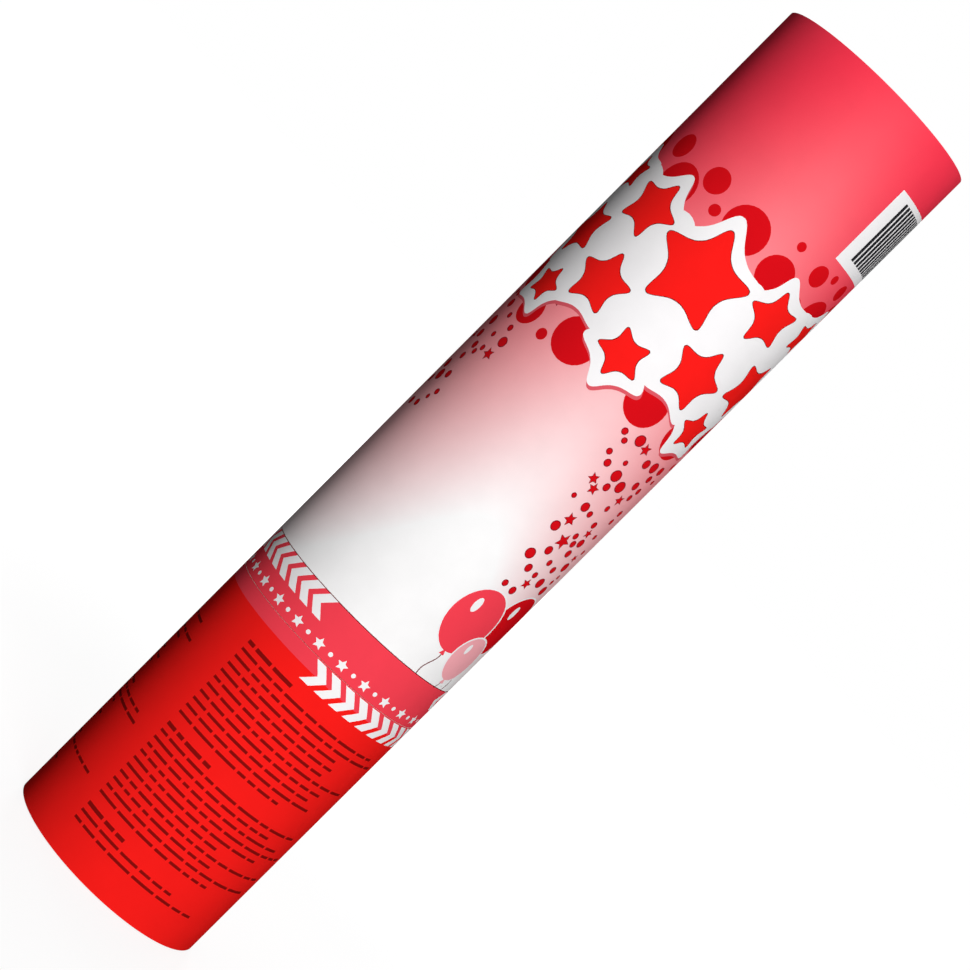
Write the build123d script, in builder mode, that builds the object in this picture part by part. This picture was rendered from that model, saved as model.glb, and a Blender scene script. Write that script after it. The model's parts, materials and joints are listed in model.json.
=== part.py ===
from build123d import *
import math
import os

# A confetti popper that fires when its two card tubes are twisted on each other.
# The lower tube holds a bottle of compressed air, and the upper one a wad and tiers of paper slips.
# Millimetres. The origin is the middle of the foot, +Z runs up to the muzzle and -Y is the front.
# The model is at rest, with the release plug shut and the muzzle closed.

# Sizes of the whole object
overall_length = 276.0  # foot to muzzle
outer_diameter = 60.0  # over the printed wraps
grip_length = 81.0  # foot to the split between the two tubes
twist_gap = 0.35  # between the two tubes at the split
twist_angle = 90.0  # degrees of twist from rest to release

# Fits that many pieces share
glue_gap = 0.1  # round a piece that is glued or pressed into a bore
running_gap = 0.3  # between pieces that turn or slide on each other
seat_gap = 0.2  # between flat faces that come apart, or hold a piece loosely
cut_overrun = 2.0  # how far a cut runs past the face that it opens

# Card tubes and their printed wraps
tube_wall = 2.2
wrap_thickness = 0.25
paste_gap = 0.08  # film of paste between a tube and its wrap
wrap_hem = 0.15  # bare card at each end of a tube
wrap_seam = 0.4  # between the two edges of a wrap, at the back

# Plug that closes the foot
foot_recess = 2.0  # of the plug's underside, above the rim that the popper stands on
foot_floor = 2.0
foot_skirt_height = 14.0
foot_skirt_wall = 1.8
foot_cup_height = 9.0  # of the ring round the bottle's heel
foot_cup_wall = 1.5
foot_rib_width = 1.5
foot_rib_count = 8
foot_bead_diameter = 36.0  # middle of the stiffening bead on the underside
foot_bead_width = 2.0
foot_bead_height = 0.8
foot_gate_diameter = 6.0  # round boss where the moulding was filled
foot_spoke_count = 6

# Bottle of compressed air
bottle_wall = 1.2
bottle_heel = 4.5  # radius between its side and its foot
bottle_dome = 4.0  # how far its base is pressed in
mouth_diameter = 12.0
neck_fillet = 1.6
neck_wall = 2.2
lip_overhang = 1.4
lip_height = 3.0
lip_round = 0.9
mouth_chamfer = 0.5

# Holder glued into the top of the lower tube, with the spigot that the barrel turns on
holder_depth = 26.0
holder_plate = 3.0
holder_skirt_wall = 1.8
holder_rib_space = 2.2  # between its skirt and the sleeve round the bottle
holder_sleeve_wall = 1.6
holder_rib_width = 1.5
holder_rib_count = 8
spigot_height = 18.0
spigot_wall = 2.4
key_width = 5.0  # keys that stop the collar from turning
key_depth = 2.4
key_height = 2.2
key_count = 4

# Collar on the bottle's neck, with the two helical slots that lift the plug out
collar_ledge = 3.0  # under the clip
collar_wall = 2.4
collar_rim = 3.0  # left above the slots
cam_lift = 9.0  # of the plug over the whole twist
cam_count = 2
pocket_relief = 0.2  # on each side of the pin, where a slot begins and where it opens

# Horseshoe clip under the bottle's lip
clip_thickness = 2.0
clip_bearing = 3.4  # how far it reaches under the wall of the collar

# Split ring of the swivel
ring_rise = 11.0  # of its lower face above the holder's plate
ring_height = 1.8
ring_bite = 1.0  # how far it reaches into the spigot and into the insert
ring_split = 6.0

# Insert glued into the foot of the upper tube
insert_skirt_wall = 1.8
insert_web = 3.0
insert_rib_width = 1.5
insert_rib_count = 8
gusset_height = 5.0
swivel_wall = 2.4
swivel_lead_in = 0.6
drive_wall = 2.0
wad_room = 2.0  # between the lifted plug and the wad

# Release plug, its cross pin and its two rings
head_height = 13.0
head_recess = 2.6
head_wall = 2.4
stem_length = 10.0
stem_chamfer = 1.0
pin_diameter = 4.0
pin_rise = 5.5  # of the pin's axis above the underside of the head
pin_chamfer = 0.5
pin_fit = 0.03
seal_section = 1.8
seal_fit = 0.05
seal_inset = 2.8  # from the head's underside to the middle of the upper ring
seal_pitch = 3.6

# Wad and paper slips
wad_disc_thickness = 3.0
wad_pad_thickness = 8.0
wad_pad_round = 1.0
slip_length = 44.0
slip_shortest = 12.0  # least length that the last tier can be cut to
slip_width = 17.5
slip_stack = 5.0  # thickness of one stack of slips
slip_gap = 0.5
tier_turn = 60.0  # degrees from one tier to the next

# Gold seal and clear cap in the muzzle
push_gap = 0.15  # round a piece that is pushed into the muzzle by hand
seal_board = 0.8
seal_rim_height = 4.0
cap_recess = 1.0
cap_depth = 12.0
cap_wall = 1.4
cap_floor = 1.6
cap_lead_in = 0.5
cap_bar_width = 3.0
cap_bar_height = 8.0
cap_bar_round = 1.0

# Radii of the tubes and of what fills their bores, worked out from the outside in
wrap_radius = outer_diameter / 2
paper_radius = wrap_radius - wrap_thickness
tube_radius = paper_radius - paste_gap
bore_radius = tube_radius - tube_wall
glued_radius = bore_radius - glue_gap
holder_sleeve_radius = glued_radius - holder_skirt_wall - holder_rib_space
holder_sleeve_bore = holder_sleeve_radius - holder_sleeve_wall
bottle_radius = holder_sleeve_bore - running_gap
load_radius = bore_radius - running_gap
cap_radius = bore_radius - push_gap

# Radii of the release, worked out from the bottle's mouth to the wall that turns on the spigot
mouth_radius = mouth_diameter / 2
stem_radius = mouth_radius - running_gap
neck_radius = mouth_radius + neck_wall
lip_radius = neck_radius + lip_overhang
head_radius = lip_radius
collar_bore = lip_radius + running_gap
clip_radius = collar_bore + clip_bearing
collar_radius = collar_bore + collar_wall
drive_bore = collar_radius + running_gap
drive_radius = drive_bore + drive_wall
spigot_bore = drive_radius + running_gap
spigot_radius = spigot_bore + spigot_wall
swivel_bore = spigot_radius + running_gap
swivel_radius = swivel_bore + swivel_wall

# Heights, worked out from the foot up
barrel_foot = grip_length + twist_gap
bottle_foot = foot_recess + foot_floor
plate_top = grip_length
plate_foot = plate_top - holder_plate
bottle_crown = plate_foot - seat_gap
shoulder_radius = bottle_radius - neck_radius - neck_fillet
bottle_shoulder = bottle_crown - shoulder_radius
clip_foot = plate_top + collar_ledge + seat_gap
lip_foot = clip_foot + clip_thickness + seat_gap
mouth_top = lip_foot + lip_height
head_foot = mouth_top + seat_gap
head_top = head_foot + head_height
pin_height = head_foot + pin_rise
slot_width = pin_diameter + 2 * running_gap
collar_top = pin_height + cam_lift + slot_width / 2 + collar_rim
ring_foot = plate_top + ring_rise
ring_top = ring_foot + ring_height
spigot_top = plate_top + spigot_height
web_foot = spigot_top + running_gap
web_top = web_foot + insert_web
drive_foot = mouth_top + running_gap
drive_top = pin_height + cam_lift + pin_diameter / 2
insert_top = head_top + cam_lift + wad_room
wad_foot = insert_top + seat_gap
pad_foot = wad_foot + wad_disc_thickness
tiers_foot = pad_foot + wad_pad_thickness + seat_gap
cap_top = overall_length - cap_recess
cap_foot = cap_top - cap_depth
seal_foot = cap_foot - seat_gap - seal_rim_height

pieces = {}


def band(inner, outer, foot, top, mode=Mode.ADD):
    """Put the section of a ring between two radii and two heights into the open sketch."""
    with Locations(((inner + outer) / 2, (foot + top) / 2)):
        Rectangle(outer - inner, top - foot, mode=mode)


def spokes(inner, outer, width, count):
    """Put evenly turned radial bars between two radii into the open sketch."""
    with PolarLocations((inner + outer) / 2, count):
        Rectangle(outer - inner, width)


def spread(reach, least_pitch):
    """Return even places from one end of a reach to the other, or its middle if only one fits."""
    steps = int(2 * reach // least_pitch)
    if steps == 0:
        return [0]
    return [reach * (2 * step / steps - 1) for step in range(steps + 1)]


# Lower card tube
with BuildPart() as base_tube:
    with BuildSketch():
        Circle(tube_radius)
        Circle(bore_radius, mode=Mode.SUBTRACT)
    extrude(amount=grip_length)
pieces["base_tube"] = base_tube

# Printed wrap of the lower tube
with BuildPart() as base_wrap:
    with BuildSketch(Plane.XY.offset(wrap_hem)):
        Circle(wrap_radius)
        Circle(paper_radius, mode=Mode.SUBTRACT)
        with Locations((0, wrap_radius)):
            Rectangle(wrap_seam, 2 * cut_overrun, mode=Mode.SUBTRACT)
    extrude(amount=grip_length - 2 * wrap_hem)
pieces["base_wrap"] = base_wrap

# Plug that closes the foot: a floor, a skirt, and a ribbed cup for the bottle's heel
foot_cup_bore = bottle_radius + running_gap
foot_skirt_bore = glued_radius - foot_skirt_wall
with BuildPart() as base_plug:
    with BuildSketch(Plane.XZ):
        band(0, glued_radius, foot_recess, bottle_foot)
        band(foot_skirt_bore, glued_radius, foot_recess, foot_recess + foot_skirt_height)
        band(foot_cup_bore, foot_cup_bore + foot_cup_wall, foot_recess, bottle_foot + foot_cup_height)
    revolve(axis=Axis.Z)
    with BuildSketch(Plane.XY.offset(foot_recess)):
        rib_inner = foot_cup_bore + foot_cup_wall / 2
        rib_outer = glued_radius - foot_skirt_wall / 2
        spokes(rib_inner, rib_outer, foot_rib_width, foot_rib_count)
    extrude(amount=foot_floor + foot_cup_height)
    with BuildSketch(Plane.XY.offset(foot_recess)):
        Circle((foot_bead_diameter + foot_bead_width) / 2)
        Circle((foot_bead_diameter - foot_bead_width) / 2, mode=Mode.SUBTRACT)
        Circle(foot_gate_diameter / 2)
        spokes(0, foot_bead_diameter / 2, foot_bead_width, foot_spoke_count)
    extrude(amount=-foot_bead_height)
pieces["base_plug"] = base_plug

# Drawn bottle, hollow, with a domed base, a round shoulder and a rolled lip
heel_radius = bottle_radius - bottle_heel
with BuildPart() as gas_bottle:
    with BuildSketch(Plane.XZ):
        with BuildLine():
            dome = (0, bottle_foot + bottle_dome)
            foot_ring = (heel_radius, bottle_foot)
            heel_end = (bottle_radius, bottle_foot + bottle_heel)
            shoulder_start = (bottle_radius, bottle_shoulder)
            shoulder_end = (neck_radius + neck_fillet, bottle_crown)
            TangentArc(dome, foot_ring, tangent=(1, 0))
            TangentArc(foot_ring, heel_end, tangent=(1, 0))
            Line(heel_end, shoulder_start)
            TangentArc(shoulder_start, shoulder_end, tangent=(0, 1))
            TangentArc(shoulder_end, (neck_radius, bottle_crown + neck_fillet), tangent=(-1, 0))
            Line((neck_radius, bottle_crown + neck_fillet), (neck_radius, lip_foot))
            lip_under = (lip_radius - lip_round, lip_foot)
            lip_over = (lip_radius - lip_round, mouth_top)
            Line((neck_radius, lip_foot), lip_under)
            TangentArc(lip_under, (lip_radius, lip_foot + lip_round), tangent=(1, 0))
            Line((lip_radius, lip_foot + lip_round), (lip_radius, mouth_top - lip_round))
            TangentArc((lip_radius, mouth_top - lip_round), lip_over, tangent=(0, 1))
            Line(lip_over, (mouth_radius + mouth_chamfer, mouth_top))
            Line((mouth_radius + mouth_chamfer, mouth_top), (mouth_radius, mouth_top - mouth_chamfer))
            Line((mouth_radius, mouth_top - mouth_chamfer), (mouth_radius, bottle_crown - bottle_wall))
            inner_end = (neck_radius + neck_fillet, bottle_crown - bottle_wall)
            Line((mouth_radius, bottle_crown - bottle_wall), inner_end)
            inner_radius = bottle_radius - bottle_wall
            TangentArc(inner_end, (inner_radius, bottle_shoulder), tangent=(1, 0))
            Line((inner_radius, bottle_shoulder), (inner_radius, bottle_foot + bottle_heel))
            inner_heel = (heel_radius, bottle_foot + bottle_wall)
            TangentArc((inner_radius, bottle_foot + bottle_heel), inner_heel, tangent=(0, -1))
            inner_dome = (0, bottle_foot + bottle_dome + bottle_wall)
            TangentArc(inner_dome, inner_heel, tangent=(1, 0))
            Line(inner_dome, dome)
        make_face()
    revolve(axis=Axis.Z)
pieces["gas_bottle"] = gas_bottle

# Holder: a glued skirt, a sleeve round the bottle, a plate over its shoulder, and the swivel spigot
holder_foot = plate_top - holder_depth
clip_slot = clip_thickness + 2 * seat_gap
with BuildPart() as bottle_holder:
    with BuildSketch(Plane.XZ):
        band(glued_radius - holder_skirt_wall, glued_radius, holder_foot, plate_top)
        band(holder_sleeve_bore, holder_sleeve_radius, holder_foot, plate_top)
        band(lip_radius + running_gap, glued_radius, plate_foot, plate_top)
        band(spigot_bore, spigot_radius, plate_foot, spigot_top)
        groove_floor = spigot_radius - ring_bite - glue_gap
        band(groove_floor, swivel_bore, ring_foot - seat_gap, ring_top + seat_gap, mode=Mode.SUBTRACT)
    revolve(axis=Axis.Z)
    with BuildSketch(Plane.XY.offset(holder_foot)):
        rib_inner = holder_sleeve_radius - holder_sleeve_wall / 2
        rib_outer = glued_radius - holder_skirt_wall / 2
        spokes(rib_inner, rib_outer, holder_rib_width, holder_rib_count)
    extrude(amount=holder_depth)
    with BuildSketch(Plane.XY.offset(plate_top)):
        spokes(spigot_bore - key_depth, spigot_bore + spigot_wall / 2, key_width, key_count)
    extrude(amount=key_height)
    # The clip goes in through a window at the back of the spigot
    with BuildSketch(Plane.XY.offset(clip_foot - seat_gap)):
        window_width = 2 * (clip_radius + running_gap)
        Rectangle(window_width, spigot_radius + cut_overrun, align=(Align.CENTER, Align.MIN))
    extrude(amount=clip_slot, mode=Mode.SUBTRACT)
pieces["bottle_holder"] = bottle_holder

# Cutters for one helical slot: the ramp, the pocket where the pin rests, and the way out at the top
cam_radius = (collar_bore + collar_radius) / 2
cam_pitch = cam_lift * 360 / twist_angle
cut_depth = collar_wall + 2 * cut_overrun
pocket_width = slot_width + 2 * pocket_relief
with BuildPart() as cam_ramp:
    with BuildLine() as cam_path:
        Helix(cam_pitch, cam_lift, cam_radius, center=(0, 0, pin_height), lefthand=True)
    with BuildSketch(Plane(cam_path.line @ 0, x_dir=(1, 0, 0), z_dir=cam_path.line % 0)):
        Rectangle(cut_depth, slot_width)
    sweep(path=cam_path.line, is_frenet=True)

with BuildPart() as cam_rest:
    with BuildSketch(Plane.YZ.offset(cam_radius - cut_depth / 2)):
        with Locations((0, pin_height)):
            Circle(pocket_width / 2)
    extrude(amount=cut_depth)

with BuildPart() as cam_exit:
    with BuildSketch(Plane.YZ.offset(cam_radius - cut_depth / 2)):
        with Locations((0, pin_height + cam_lift)):
            Circle(pocket_width / 2)
            exit_height = slot_width / 2 + collar_rim + cut_overrun
            Rectangle(pocket_width, exit_height, align=(Align.CENTER, Align.MIN))
    extrude(amount=cut_depth)

# Collar: a keyed base with the clip's pocket, and a guide wall with the two helical slots
with BuildPart() as lock_collar:
    with BuildSketch(Plane.XZ):
        band(collar_bore, spigot_bore - glue_gap, plate_top, mouth_top)
        band(collar_bore, collar_radius, plate_top, collar_top)
    revolve(axis=Axis.Z)
    with BuildSketch(Plane.XY.offset(clip_foot - seat_gap)):
        Circle(clip_radius + running_gap)
        Rectangle(window_width, spigot_radius, align=(Align.CENTER, Align.MIN))
    extrude(amount=clip_slot, mode=Mode.SUBTRACT)
    with BuildSketch(Plane.XY.offset(plate_top)):
        notch_inner = spigot_bore - key_depth - running_gap
        spokes(notch_inner, spigot_radius, key_width + 2 * running_gap, key_count)
    extrude(amount=key_height + seat_gap, mode=Mode.SUBTRACT)
    for slot in range(cam_count):
        slot_turn = slot * 360 / cam_count
        add(cam_ramp.part, rotation=(0, 0, slot_turn), mode=Mode.SUBTRACT)
        add(cam_rest.part, rotation=(0, 0, slot_turn), mode=Mode.SUBTRACT)
        add(cam_exit.part, rotation=(0, 0, slot_turn - twist_angle), mode=Mode.SUBTRACT)
pieces["lock_collar"] = lock_collar

# Horseshoe clip, pushed in from the back with its mouth to the front
with BuildPart() as neck_clip:
    with BuildSketch(Plane.XY.offset(clip_foot)):
        Circle(clip_radius)
        Circle(neck_radius + glue_gap, mode=Mode.SUBTRACT)
        mouth_width = 2 * (neck_radius + glue_gap)
        Rectangle(mouth_width, clip_radius, align=(Align.CENTER, Align.MAX), mode=Mode.SUBTRACT)
    extrude(amount=clip_thickness)
pieces["neck_clip"] = neck_clip

# Split ring, half in the spigot's groove and half in the insert's
with BuildPart() as swivel_ring:
    with BuildSketch(Plane.XY.offset(ring_foot)):
        Circle(swivel_bore + ring_bite)
        Circle(spigot_radius - ring_bite, mode=Mode.SUBTRACT)
        with Locations((0, -spigot_radius)):
            Rectangle(ring_split, 2 * (ring_bite + cut_overrun), mode=Mode.SUBTRACT)
    extrude(amount=ring_height)
pieces["swivel_ring"] = swivel_ring

# Upper card tube
with BuildPart() as barrel_tube:
    with BuildSketch(Plane.XY.offset(barrel_foot)):
        Circle(tube_radius)
        Circle(bore_radius, mode=Mode.SUBTRACT)
    extrude(amount=overall_length - barrel_foot)
pieces["barrel_tube"] = barrel_tube

# Printed wrap of the upper tube
with BuildPart() as barrel_wrap:
    with BuildSketch(Plane.XY.offset(barrel_foot + wrap_hem)):
        Circle(wrap_radius)
        Circle(paper_radius, mode=Mode.SUBTRACT)
        with Locations((0, wrap_radius)):
            Rectangle(wrap_seam, 2 * cut_overrun, mode=Mode.SUBTRACT)
    extrude(amount=overall_length - barrel_foot - 2 * wrap_hem)
pieces["barrel_wrap"] = barrel_wrap

# Insert: a glued skirt, the swivel wall round the spigot, and the slotted sleeve that drives the pin
with BuildPart() as barrel_insert:
    with BuildSketch(Plane.XZ):
        band(glued_radius - insert_skirt_wall, glued_radius, barrel_foot, insert_top)
        band(swivel_bore, swivel_radius, barrel_foot, web_top)
        band(drive_bore, glued_radius, web_foot, web_top)
        band(drive_bore, drive_radius, drive_foot, drive_top)
        groove_floor = swivel_bore + ring_bite + running_gap
        band(spigot_radius, groove_floor, ring_foot - seat_gap, ring_top + seat_gap, mode=Mode.SUBTRACT)
    revolve(axis=Axis.Z)
    with BuildSketch(Plane.XY.offset(barrel_foot)):
        rib_inner = swivel_radius - (swivel_wall - ring_bite - running_gap) / 2
        rib_outer = glued_radius - insert_skirt_wall / 2
        spokes(rib_inner, rib_outer, insert_rib_width, insert_rib_count)
    extrude(amount=web_top - barrel_foot)
    with BuildSketch(Plane.XY.offset(web_foot)):
        gusset_inner = drive_radius - drive_wall / 2
        gusset_outer = glued_radius - insert_skirt_wall / 2
        spokes(gusset_inner, gusset_outer, insert_rib_width, insert_rib_count)
    extrude(amount=insert_web + gusset_height)
    swivel_mouth = barrel_insert.edges().filter_by(GeomType.CIRCLE).filter_by(
        lambda edge: edge.radius < swivel_bore + glue_gap and edge.center().Z < barrel_foot + glue_gap
    )
    chamfer(swivel_mouth, swivel_lead_in)
    with BuildSketch(Plane.XY.offset(drive_foot)):
        Rectangle(2 * spigot_bore, slot_width)
    extrude(amount=drive_top - drive_foot + cut_overrun, mode=Mode.SUBTRACT)
pieces["barrel_insert"] = barrel_insert

# Release plug: a stem in the bottle's mouth, with two grooves, under a head with a hole for the pin
upper_seal = head_foot - seal_inset
seal_levels = {"o_ring_lower": upper_seal - seal_pitch, "o_ring_upper": upper_seal}
seal_radius = mouth_radius - seal_fit - seal_section / 2
seal_groove = seal_radius - seal_section / 2 - seal_fit
with BuildPart() as release_plug:
    with BuildSketch(Plane.XZ):
        band(0, stem_radius, head_foot - stem_length, head_foot)
        band(0, head_radius, head_foot, head_top)
        band(0, head_radius - head_wall, head_top - head_recess, head_top, mode=Mode.SUBTRACT)
        for level in seal_levels.values():
            half_groove = seal_section / 2 + seal_fit
            band(seal_groove, mouth_radius, level - half_groove, level + half_groove, mode=Mode.SUBTRACT)
    revolve(axis=Axis.Z)
    chamfer(release_plug.faces().sort_by(Axis.Z)[0].edges(), stem_chamfer)
    with BuildSketch(Plane.YZ):
        with Locations((0, pin_height)):
            Circle(pin_diameter / 2 + pin_fit)
    extrude(amount=head_radius + cut_overrun, both=True, mode=Mode.SUBTRACT)
pieces["release_plug"] = release_plug

# Steel pin across the plug, long enough to reach through the collar into the drive sleeve
with BuildPart() as cross_pin:
    with BuildSketch(Plane.YZ):
        with Locations((0, pin_height)):
            Circle(pin_diameter / 2)
    extrude(amount=drive_radius - running_gap, both=True)
    chamfer(cross_pin.edges().filter_by(GeomType.CIRCLE), pin_chamfer)
pieces["cross_pin"] = cross_pin

# Two rubber rings on the stem
for ring_name, level in seal_levels.items():
    with BuildPart() as o_ring:
        with BuildSketch(Plane.XZ):
            with Locations((seal_radius, level)):
                Circle(seal_section / 2)
        revolve(axis=Axis.Z)
    pieces[ring_name] = o_ring

# Card wad on the rim of the insert
with BuildPart() as wad_disc:
    with BuildSketch(Plane.XY.offset(wad_foot)):
        Circle(load_radius)
    extrude(amount=wad_disc_thickness)
pieces["wad_disc"] = wad_disc

# Foam pad on the wad, with soft edges
with BuildPart() as wad_pad:
    with BuildSketch(Plane.XY.offset(pad_foot)):
        Circle(load_radius)
    extrude(amount=wad_pad_thickness)
    fillet(wad_pad.edges().filter_by(GeomType.CIRCLE), wad_pad_round)
pieces["wad_pad"] = wad_pad

# Places of the stacks, which stand on end in rows across the bore and fill it
half_slip = slip_width / 2
row_reach = math.sqrt(load_radius**2 - half_slip**2) - slip_stack / 2 - slip_gap
stack_places = []
for row_place in spread(row_reach, slip_stack + slip_gap):
    far_side = abs(row_place) + slip_stack / 2
    stack_reach = math.sqrt(load_radius**2 - far_side**2) - half_slip
    for stack_place in spread(stack_reach, slip_width + slip_gap):
        stack_places.append((row_place, stack_place))

# Each tier is as tall as its slips, and the last one is cut to the room that is left
tier_foot = tiers_foot
tier = 0
while seal_foot - tier_foot > slip_shortest:
    tier_height = min(slip_length, seal_foot - slip_gap - tier_foot)
    with BuildPart() as confetti_tier:
        with BuildSketch(Plane.XY.offset(tier_foot).rotated((0, 0, tier * tier_turn))):
            with Locations(*stack_places):
                Rectangle(slip_stack, slip_width)
        extrude(amount=tier_height)
    tier += 1
    tier_foot += tier_height + slip_gap
    pieces[f"confetti_tier_{tier}"] = confetti_tier

# Gold seal: a pressed board with its rim turned up along the bore
with BuildPart() as muzzle_seal:
    with BuildSketch(Plane.XZ):
        band(0, cap_radius, seal_foot, seal_foot + seal_board)
        band(cap_radius - seal_board, cap_radius, seal_foot, seal_foot + seal_rim_height)
    revolve(axis=Axis.Z)
pieces["muzzle_seal"] = muzzle_seal

# Clear cap: a cup that is pushed into the muzzle, with a bar across it to pull it out by
with BuildPart() as muzzle_cap:
    with BuildSketch(Plane.XZ):
        band(0, cap_radius, cap_foot, cap_foot + cap_floor)
        band(cap_radius - cap_wall, cap_radius, cap_foot, cap_top)
    revolve(axis=Axis.Z)
    chamfer(muzzle_cap.faces().sort_by(Axis.Z)[0].edges(), cap_lead_in)
    with BuildSketch(Plane.XY.offset(cap_foot)):
        Rectangle(2 * cap_radius - cap_wall, cap_bar_width)
    extrude(amount=cap_floor + cap_bar_height)
    bar_top = muzzle_cap.faces().filter_by(Plane.XY).filter_by(
        lambda face: abs(face.center().Z - cap_foot - cap_floor - cap_bar_height) < cap_lead_in
    )
    fillet(bar_top.edges().filter_by(Axis.X), cap_bar_round)
pieces["muzzle_cap"] = muzzle_cap

os.makedirs("parts", exist_ok=True)
for piece_name, piece in pieces.items():
    piece.part.label = piece_name
    export_step(piece.part, f"parts/{piece_name}.step")
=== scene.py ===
import itertools
import json
import math
import random

import bpy
from mathutils import Matrix, Vector
from mathutils.geometry import delaunay_2d_cdt


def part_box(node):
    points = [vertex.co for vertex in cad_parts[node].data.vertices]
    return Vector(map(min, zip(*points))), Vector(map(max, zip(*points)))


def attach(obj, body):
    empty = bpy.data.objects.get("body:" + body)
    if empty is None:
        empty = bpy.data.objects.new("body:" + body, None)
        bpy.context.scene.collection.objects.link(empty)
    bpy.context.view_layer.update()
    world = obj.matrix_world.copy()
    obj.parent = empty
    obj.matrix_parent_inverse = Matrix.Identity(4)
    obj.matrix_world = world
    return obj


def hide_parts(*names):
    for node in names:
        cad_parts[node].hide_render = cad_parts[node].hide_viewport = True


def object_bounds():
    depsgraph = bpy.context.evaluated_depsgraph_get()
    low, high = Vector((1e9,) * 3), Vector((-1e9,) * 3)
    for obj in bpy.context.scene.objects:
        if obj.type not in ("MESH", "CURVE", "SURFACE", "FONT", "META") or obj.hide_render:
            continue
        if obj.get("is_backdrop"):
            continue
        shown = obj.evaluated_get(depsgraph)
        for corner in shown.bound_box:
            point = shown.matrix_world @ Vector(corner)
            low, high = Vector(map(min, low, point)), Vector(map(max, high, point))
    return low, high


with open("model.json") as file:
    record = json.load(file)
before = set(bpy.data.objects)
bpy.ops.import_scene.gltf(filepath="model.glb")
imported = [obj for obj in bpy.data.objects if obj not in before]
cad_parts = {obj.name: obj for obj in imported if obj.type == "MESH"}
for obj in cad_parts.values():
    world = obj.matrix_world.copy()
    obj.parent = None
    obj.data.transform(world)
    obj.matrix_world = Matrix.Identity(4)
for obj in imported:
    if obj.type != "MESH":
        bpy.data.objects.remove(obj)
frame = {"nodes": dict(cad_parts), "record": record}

# A confetti popper: two printed card tubes that turn on each other, with an air bottle in the lower
# one and paper slips in the upper one. Metres, in the frame of the CAD model. The print is laid out
# unrolled in millimetres: along runs to the right from the middle of the front, height up from the foot.
cad_low, cad_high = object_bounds()
MM = 0.001

# Sizes that the CAD model gives
_, wrap_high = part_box("barrel_wrap")
base_low, base_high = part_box("base_tube")
_, barrel_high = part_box("barrel_tube")
pad_low, pad_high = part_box("wad_pad")
RADIUS = wrap_high.x / MM
BASE_FOOT = base_low.z / MM
BASE_TOP = base_high.z / MM
BARREL_TOP = barrel_high.z / MM

# Sizes of the paper wraps. The barrel's one hangs over the split, so that only a hairline of it shows
PAPER = 0.25
SEAM = 0.06
SPLIT_SHOWN = 0.1
BARREL_FOOT = BASE_TOP + SPLIT_SHOWN
HALF_ROUND = math.pi * RADIUS
ROUND = 2 * HALF_ROUND
HALF_SHEET = HALF_ROUND - SEAM / 2
BENDS = 180  # flat strips that make up the round of a wrap
MERGE = 0.00001  # distance at which two corners of the print become one


# Colours and shader nodes

NOISE_LOW = 0.3  # most of a noise lies between these two
NOISE_HIGH = 0.7
FINER = 6.0  # how much finer the second grain of a plain material is than its first
GLOSS_RANGE = 0.06


def srgb(red, green, blue):
    """Return the linear colour of an sRGB colour given in 0 to 255."""
    shares = [part / 255 for part in (red, green, blue)]
    return tuple(((s + 0.055) / 1.055) ** 2.4 if s > 0.04 else s / 12.92 for s in shares) + (1.0,)


def neutral(level):
    """Return the linear colour of a grey."""
    return (level, level, level, 1.0)


def add(tree, kind, inputs=None, **settings):
    """Add a shader node, with its settings, and set or link its inputs."""
    made = tree.nodes.new(kind)
    for key, value in settings.items():
        setattr(made, key, value)
    for key, value in (inputs or {}).items():
        if isinstance(value, bpy.types.NodeSocket):
            tree.links.new(value, made.inputs[key])
        else:
            made.inputs[key].default_value = value
    return made


def calc(tree, operation, first, second=0.0):
    """Add an operation on one or two numbers and return its result."""
    return add(tree, "ShaderNodeMath", {0: first, 1: second}, operation=operation).outputs[0]


def mix(tree, share, first, second):
    """Add a mix of two colours and return its result."""
    return add(tree, "ShaderNodeMix", {0: share, 6: first, 7: second}, data_type="RGBA").outputs[2]


def remap(tree, value, low, high, new_low, new_high):
    """Add a map from one range to another and return its result."""
    inputs = {"Value": value, "From Min": low, "From Max": high, "To Min": new_low, "To Max": new_high}
    return add(tree, "ShaderNodeMapRange", inputs).outputs[0]


def vary(tree, value, low, high):
    """Add a map from the range of a noise to another one and return its result."""
    return remap(tree, value, NOISE_LOW, NOISE_HIGH, low, high)


def noise(tree, place, scale):
    """Add a noise over a place and return its value."""
    return add(tree, "ShaderNodeTexNoise", {"Vector": place, "Scale": scale, "Detail": 3.0}).outputs[0]


def cells(tree, place, scale):
    """Add a pattern of cells over a place and return the distance to their middles."""
    return add(tree, "ShaderNodeTexVoronoi", {"Vector": place, "Scale": scale}).outputs[0]


def parts(tree, place):
    """Add a split of a place or direction and return its three numbers."""
    return add(tree, "ShaderNodeSeparateXYZ", {0: place}).outputs


def stretch(tree, place, along):
    """Add a scaling of a place and return its result."""
    return add(tree, "ShaderNodeMapping", {"Vector": place, "Scale": along}).outputs[0]


def bump(tree, height, depth):
    """Add a bump of that depth in metres and return its normal."""
    return add(tree, "ShaderNodeBump", {"Height": height, "Distance": depth, "Strength": 1.0}).outputs[0]


def begin(name):
    """Start a material. Return it, its tree, its surface shader and the object's own coordinates."""
    material = bpy.data.materials.new(name)
    material.use_nodes = True
    tree = material.node_tree
    surface = tree.nodes["Principled BSDF"]
    place = add(tree, "ShaderNodeTexCoord").outputs["Object"]
    return material, tree, surface, place


def give(tree, surface, **inputs):
    """Set or link inputs of a surface shader, with underscores for the spaces in their names."""
    for key, value in inputs.items():
        socket = surface.inputs[key.replace("_", " ")]
        if isinstance(value, bpy.types.NodeSocket):
            tree.links.new(value, socket)
        else:
            socket.default_value = value


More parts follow.
